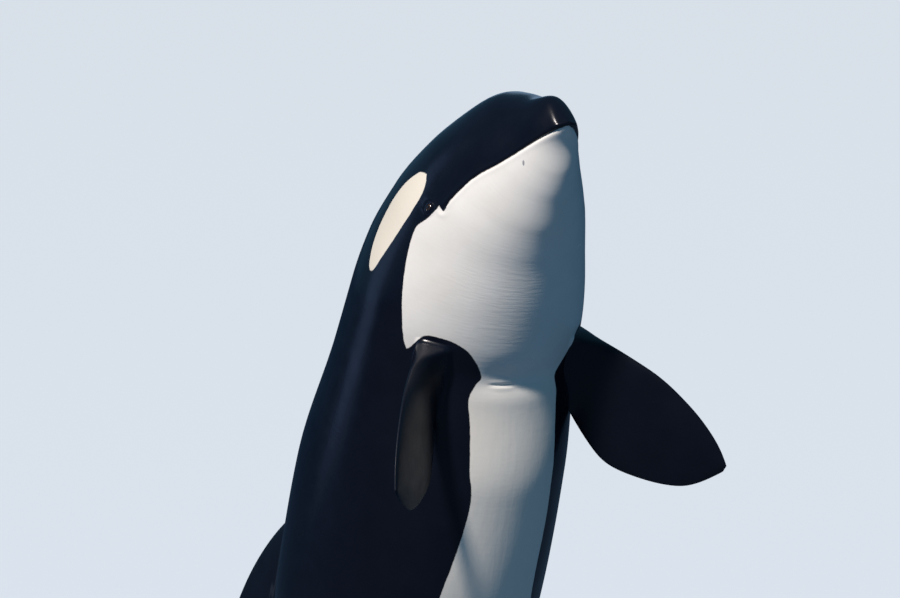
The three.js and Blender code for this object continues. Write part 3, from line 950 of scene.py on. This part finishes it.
def add(tree, kind, *inputs, **settings):
    made = tree.nodes.new("ShaderNode" + kind)
    for name, value in settings.items():
        setattr(made, name, value)
    for name, value in inputs:
        feed(tree, made.inputs[name], value)
    return made


def attribute(tree, name, output="Fac"):
    return add(tree, "Attribute", attribute_name=name).outputs[output]


def maths(tree, operation, *values):
    made = add(tree, "Math", *enumerate(values), operation=operation)
    return made.outputs[0]


def mix_colour(tree, share, a, b):
    """A Mix node has sockets for every kind of value. Those for colours are 6, 7 and 2."""
    made = add(tree, "Mix", ("Factor", share), (6, a), (7, b), data_type="RGBA")
    return made.outputs[2]


def ramp(tree, value, low, high, to_low=0.0, to_high=1.0):
    made = add(
        tree, "MapRange", ("Value", value), ("From Min", low), ("From Max", high),
        ("To Min", to_low), ("To Max", to_high), interpolation_type="SMOOTHSTEP",
    )
    return made.outputs[0]


def drawn_out(tree, place, stretch, detail):
    """Noise with its own size along each axis, for marks that run one way."""
    sized = add(tree, "Mapping", ("Vector", place), ("Scale", stretch))
    noise = add(
        tree, "TexNoise", ("Vector", sized.outputs[0]), ("Scale", 1.0), ("Detail", detail)
    )
    return noise.outputs["Fac"]


def raise_by(tree, shader, height, strength, distance):
    bump = add(tree, "Bump", ("Height", height), ("Strength", strength), ("Distance", distance))
    feed(tree, shader.inputs["Normal"], bump.outputs["Normal"])


def new_material(name):
    made = bpy.data.materials.new(name)
    made.use_nodes = True
    return made, made.node_tree, made.node_tree.nodes["Principled BSDF"]


print("materials that came with the CAD model:", len(bpy.data.materials))

# %% [markdown]
# Cloudy unevenness is wanted in the skin, the stand's paint and its steel alike, so it is one
# node group with a size, a low and a high value.

# %% Node group: mottling
mottling = bpy.data.node_groups.new("mottling", "ShaderNodeTree")
for name, kind, default in (
    ("Place", "NodeSocketVector", None), ("Size", "NodeSocketFloat", 10.0),
    ("Low", "NodeSocketFloat", 0.0), ("High", "NodeSocketFloat", 1.0),
):
    socket = mottling.interface.new_socket(name, in_out="INPUT", socket_type=kind)
    if default is not None:
        socket.default_value = default
mottling.interface.new_socket("Value", in_out="OUTPUT", socket_type="NodeSocketFloat")
inside = mottling.nodes.new("NodeGroupInput")
outside = mottling.nodes.new("NodeGroupOutput")
cloud = add(
    mottling, "TexNoise", ("Vector", inside.outputs["Place"]), ("Scale", inside.outputs["Size"]),
    ("Detail", 5.0), ("Roughness", 0.6),
)
spread = add(
    mottling, "MapRange", ("Value", cloud.outputs["Fac"]), ("From Min", 0.3),
    ("From Max", 0.7), ("To Min", inside.outputs["Low"]), ("To Max", inside.outputs["High"]),
)
mottling.links.new(spread.outputs[0], outside.inputs["Value"])


def mottled(tree, place, size, low, high):
    made = add(
        tree, "Group", ("Place", place), ("Size", size), ("Low", low), ("High", high),
        node_tree=mottling,
    )
    return made.outputs["Value"]


print("node groups:", [g.name for g in bpy.data.node_groups])

# %% [markdown]
# One material holds the whole skin, because a real skin has no seam where it changes colour.
# Each marking is its kept distance turned into a mask that goes from 0 to 1 over a few
# millimetres, or over centimetres for the soft saddle and flukes. The borders wander by a
# millimetre or so, as real ones do.

# %% Skin: masks of the markings
CRISP, SOFT_PATCH, SOFT_SADDLE, SOFT_FLUKE = 0.0022, 0.004, 0.05, 0.03

wet_skin, tree, shader = new_material("wet_skin")
unbent = attribute(tree, "unbent", "Vector")
along = add(tree, "SeparateXYZ", ("Vector", unbent)).outputs["Z"]
wander = mottled(tree, unbent, 30.0, -0.0012, 0.0012)


def marking(name, soft):
    edge = maths(tree, "ADD", attribute(tree, name), wander)
    return ramp(tree, edge, -soft, soft)


crisp = maths(
    tree, "MAXIMUM", marking("white_edge", CRISP), marking("patch_edge", CRISP)
)
under_flukes = maths(tree, "MULTIPLY", marking("fluke_edge", SOFT_FLUKE), 0.9)
white = maths(tree, "MAXIMUM", crisp, under_flukes)
uneven = mottled(tree, unbent, 9.0, 0.55, 1.0)
saddle = maths(tree, "MULTIPLY", marking("saddle_edge", SOFT_SADDLE), uneven)
print("masks: white, eye patch, saddle and flukes")

# %% [markdown]
# An orca's black is a very dark blue, and its saddle a mottled grey. Thin pale rake marks, left
# by other orcas' teeth, run along the back and the tail. They are the lines where a noise, drawn
# out along the body, passes its middle value, and a second noise keeps them in patches.

# %% Skin: black, saddle and rake marks
BLACK, BLUE_BLACK = (0.0025, 0.0035, 0.0085, 1), (0.004, 0.0055, 0.012, 1)
SADDLE_GREY, RAKE_GREY = (0.25, 0.26, 0.28, 1), (0.035, 0.042, 0.055, 1)

dark = mix_colour(tree, mottled(tree, unbent, 5.0, 0.0, 1.0), BLACK, BLUE_BLACK)
dark = mix_colour(tree, saddle, dark, SADDLE_GREY)
rake = drawn_out(tree, unbent, (9.0, 6.0, 0.25), 1.0)
off_line = maths(tree, "ABSOLUTE", maths(tree, "SUBTRACT", rake, 0.5))
in_patches = ramp(tree, mottled(tree, unbent, 1.7, 0.0, 1.0), 0.6, 0.8)
on_back = ramp(tree, along, 1.9, 2.4, 0.0, 0.45)
patchy = maths(tree, "MULTIPLY", in_patches, on_back)
scratch = maths(tree, "MULTIPLY", ramp(tree, off_line, 0.005, 0.001), patchy)
dark = mix_colour(tree, scratch, dark, RAKE_GREY)
print("black skin nodes:", len(tree.nodes))

# %% [markdown]
# The white isn't pure. It is a warm, faintly cloudy white on the throat, yellower on the belly
# and the eye patch, and a small dark nick marks the right side of the lower jaw. The nick is the
# distance to one place, measured with its own scale along each axis, so it is a thin stroke.

# %% Skin: white and the nick
THROAT_WHITE, THROAT_CREAM = (0.80, 0.79, 0.75, 1), (0.74, 0.72, 0.67, 1)
BELLY_CREAM, PATCH_CREAM = (0.82, 0.785, 0.7, 1), (0.75, 0.69, 0.57, 1)
NICK_GREY, NICK_AT, NICK_SCALE = (0.3, 0.31, 0.33, 1), (45.2, 14.9, -17.8), (330.0, 80.0, 80.0)

pale = mix_colour(tree, mottled(tree, unbent, 4.0, 0.0, 1.0), THROAT_WHITE, THROAT_CREAM)
pale = mix_colour(tree, ramp(tree, along, 1.25, 1.5, 0.0, 0.7), pale, BELLY_CREAM)
pale = mix_colour(tree, marking("patch_edge", SOFT_PATCH), pale, PATCH_CREAM)
from_nick = add(tree, "Mapping", ("Vector", unbent), ("Location", NICK_AT), ("Scale", NICK_SCALE))
nick = add(tree, "VectorMath", (0, from_nick.outputs[0]), operation="LENGTH")
pale = mix_colour(tree, ramp(tree, nick.outputs["Value"], 1.2, 0.7), pale, NICK_GREY)
feed(tree, shader.inputs["Base Color"], mix_colour(tree, white, dark, pale))
print("black and white skin nodes:", len(tree.nodes))

# %% [markdown]
# Wet skin is smooth and glossy, and the flat fins dry first, so they are a little duller. Fine
# folds run across the throat, strongest in its middle, soft ripples run along the belly, and
# pores are everywhere. They are finer than the faces, so they are a bump here and not pushed
# into the mesh.

# %% Skin: gloss and relief
THROAT_MIDDLE = (-0.1, -0.43, 0.95)

drained = maths(tree, "MULTIPLY", attribute(tree, "fin"), 0.15)
wetness = mottled(tree, unbent, 12.0, 0.2, 0.28)
feed(tree, shader.inputs["Roughness"], maths(tree, "ADD", drained, wetness))
shader.inputs["Specular IOR Level"].default_value = 0.24

from_throat = add(
    tree, "VectorMath", (0, unbent), (1, THROAT_MIDDLE), operation="DISTANCE"
).outputs["Value"]
wrinkle = drawn_out(tree, unbent, (11.0, 11.0, 75.0), 3.0)
folds = maths(tree, "MULTIPLY", wrinkle, ramp(tree, from_throat, 0.05, 0.4, 1.0, 0.35))
ripple = drawn_out(tree, unbent, (40.0, 20.0, 8.0), 2.0)
ripples = maths(tree, "MULTIPLY", ripple, ramp(tree, along, 1.36, 1.44, 0.0, 0.8))
pores = add(tree, "TexNoise", ("Vector", unbent), ("Scale", 170.0), ("Detail", 2.0))
relief = maths(
    tree, "ADD", maths(tree, "ADD", folds, ripples),
    maths(tree, "MULTIPLY", pores.outputs["Fac"], 0.12),
)
raise_by(tree, shader, relief, 0.3, 0.003)
skin.data.materials.append(wet_skin)
print("skin material nodes:", len(tree.nodes))

# %% [markdown]
# An orca's eye is dark brown with a blacker pupil, under a wet and very smooth cornea. Rings of
# colour follow the angle from the pupil that each point of the eyeball keeps.

# %% Eye material
PUPIL, WHITE_OF_EYE = (0.002, 0.002, 0.004, 1), (0.03, 0.02, 0.018, 1)
IRIS_DARK, IRIS_BROWN = (0.018, 0.009, 0.005, 1), (0.05, 0.028, 0.015, 1)

wet_eye, tree, shader = new_material("wet_eye")
angle = attribute(tree, "from_pupil")
fibres = add(tree, "TexCoord").outputs["Object"]
brown = mix_colour(tree, mottled(tree, fibres, 600.0, 0.0, 1.0), IRIS_DARK, IRIS_BROWN)
iris = mix_colour(tree, ramp(tree, angle, 0.28, 0.32), PUPIL, brown)
ball_colour = mix_colour(tree, ramp(tree, angle, 0.72, 0.86), iris, WHITE_OF_EYE)
feed(tree, shader.inputs["Base Color"], ball_colour)
shader.inputs["Roughness"].default_value = 0.12
shader.inputs["Coat Weight"].default_value = 0.3
for eye in eyes.values():
    eye.data.materials.append(wet_eye)
print("eye material nodes:", len(tree.nodes))

# %% [markdown]
# A museum's stand keeps out of sight, so the base has a dull charcoal paint with a fine orange
# peel. The rods are drawn steel tube, and the marks of the drawing run along them. These are
# the CAD model's own pieces, whose shape is right, so they only change their material.

# %% Stand materials
CHARCOAL, WORN_CHARCOAL = (0.045, 0.048, 0.053, 1), (0.06, 0.063, 0.068, 1)
STEEL_DARK, STEEL_BRIGHT = (0.42, 0.43, 0.45, 1), (0.55, 0.56, 0.58, 1)

paint, tree, shader = new_material("stand_paint")
here = add(tree, "TexCoord").outputs["Object"]
tone = mix_colour(tree, mottled(tree, here, 3.0, 0.0, 1.0), CHARCOAL, WORN_CHARCOAL)
feed(tree, shader.inputs["Base Color"], tone)
feed(tree, shader.inputs["Roughness"], mottled(tree, here, 8.0, 0.42, 0.56))
grain = add(tree, "TexNoise", ("Vector", here), ("Scale", 900.0), ("Detail", 2.0))
raise_by(tree, shader, grain.outputs["Fac"], 0.3, 0.0006)

steel, tree, shader = new_material("stand_steel")
here = add(tree, "TexCoord").outputs["Object"]
lines = drawn_out(tree, here, (400.0, 400.0, 3.0), 3.0)
feed(tree, shader.inputs["Base Color"], mix_colour(tree, lines, STEEL_DARK, STEEL_BRIGHT))
feed(tree, shader.inputs["Roughness"], mottled(tree, here, 20.0, 0.22, 0.34))
shader.inputs["Metallic"].default_value = 1.0
raise_by(tree, shader, lines, 0.2, 0.0003)

for name, finish in (
    ("stand_base", paint), ("stand_rod_back", steel), ("stand_rod_tail", steel),
):
    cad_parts[name].data.materials.clear()
    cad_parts[name].data.materials.append(finish)
print("stand: paint and steel")

# %% [markdown]
# The photo was taken from far away with a long lens, a little above the animal and to its
# right, so its lines hardly converge. The distance is therefore long and the lens follows from
# it. The soft blue light from all round is the world's.

# %% Camera and world
AZIMUTH, ELEVATION = math.radians(-32.43), math.radians(7.293)
PIXELS_WIDE, PIXELS_PER_METRE = 900, 239.77
SNOUT_RIGHT, SNOUT_UP = 0.4464, 0.8540
FRAME_WIDTH = PIXELS_WIDE / PIXELS_PER_METRE
DISTANCE, SENSOR, SEES_TO = 60, 36, 3000
back_way = Vector((
    math.sin(AZIMUTH) * math.cos(ELEVATION), -math.cos(AZIMUTH) * math.cos(ELEVATION),
    math.sin(ELEVATION),
))
right_way = Vector((math.cos(AZIMUTH), math.sin(AZIMUTH), 0))
up_way = back_way.cross(right_way)
snout = Vector((0, TIP_Y, TIP_Z)) * 0.001
target = snout - right_way * SNOUT_RIGHT - up_way * SNOUT_UP
camera = bpy.data.objects.new("camera", bpy.data.cameras.new("camera"))
bpy.context.scene.collection.objects.link(camera)
camera.location = target + back_way * DISTANCE
camera.rotation_euler = back_way.to_track_quat("Z", "Y").to_euler()
camera.data.sensor_width = SENSOR
camera.data.lens = SENSOR * DISTANCE / FRAME_WIDTH
camera.data.clip_end = SEES_TO
bpy.context.scene.camera = camera
print("lens:", round(camera.data.lens), "mm")

world = bpy.data.worlds.new("studio")
world.use_nodes = True
world.node_tree.nodes["Background"].inputs["Color"].default_value = (0.2, 0.6, 1.0, 1)
world.node_tree.nodes["Background"].inputs["Strength"].default_value = 0.2
bpy.context.scene.world = world
bpy.context.scene.view_settings.view_transform = "Standard"

# %% [markdown]
# This is the light of a clear day, made in a studio: a small warm key high on the picture's
# left, a weak cool fill from its right, and two tall strips behind for the rims. The key stands
# far off, so that it lights the tail as much as the head. The floor is one very wide disc,
# because the long lens looks down at it from far away. It glows pale to the camera alone, and
# throws only a little blue light back up, so that the shade side of the animal stays dark.

# %% Floor and lights
FLOOR_RADIUS = 900
bpy.ops.object.select_all(action="DESELECT")
bpy.ops.mesh.primitive_circle_add(vertices=128, radius=FLOOR_RADIUS, fill_type="NGON")
floor = bpy.context.object
floor.name = "floor"
pale_floor, tree, shader = new_material("pale_floor")
shader.inputs["Base Color"].default_value = (0.05, 0.1, 0.17, 1)
shader.inputs["Roughness"].default_value = 0.9
shader.inputs["Emission Color"].default_value = (0.9, 0.95, 1.0, 1)
seen = add(tree, "LightPath").outputs["Is Camera Ray"]
feed(tree, shader.inputs["Emission Strength"], maths(tree, "MULTIPLY", seen, 0.75))
floor.data.materials.append(pale_floor)


def softbox(name, place_at, aim, wide, tall, watts, colour):
    lamp = bpy.data.lights.new(name, "AREA")
    lamp.shape = "RECTANGLE"
    lamp.size, lamp.size_y, lamp.energy, lamp.color = wide, tall, watts, colour
    box = bpy.data.objects.new(name, lamp)
    bpy.context.scene.collection.objects.link(box)
    box.location = place_at
    box.rotation_euler = (Vector(place_at) - Vector(aim)).to_track_quat("Z", "Y").to_euler()
    box.visible_camera = False


HEAD = (0, -0.9, 4.8)
softbox("key", (-19.2, -11.4, 33.0), HEAD, 3, 3, 19000, (1.0, 0.91, 0.86))
softbox("fill", (5, -9, 3.5), HEAD, 6, 6, 15, (0.5, 0.75, 1.0))
softbox("rim_left", (-6, 7, 6.5), HEAD, 3, 7, 60, (0.35, 0.55, 1.0))
softbox("rim_right", (6, 9, 6), HEAD, 3, 7, 40, (0.5, 0.7, 1.0))
print("lights: key, fill and two rims")
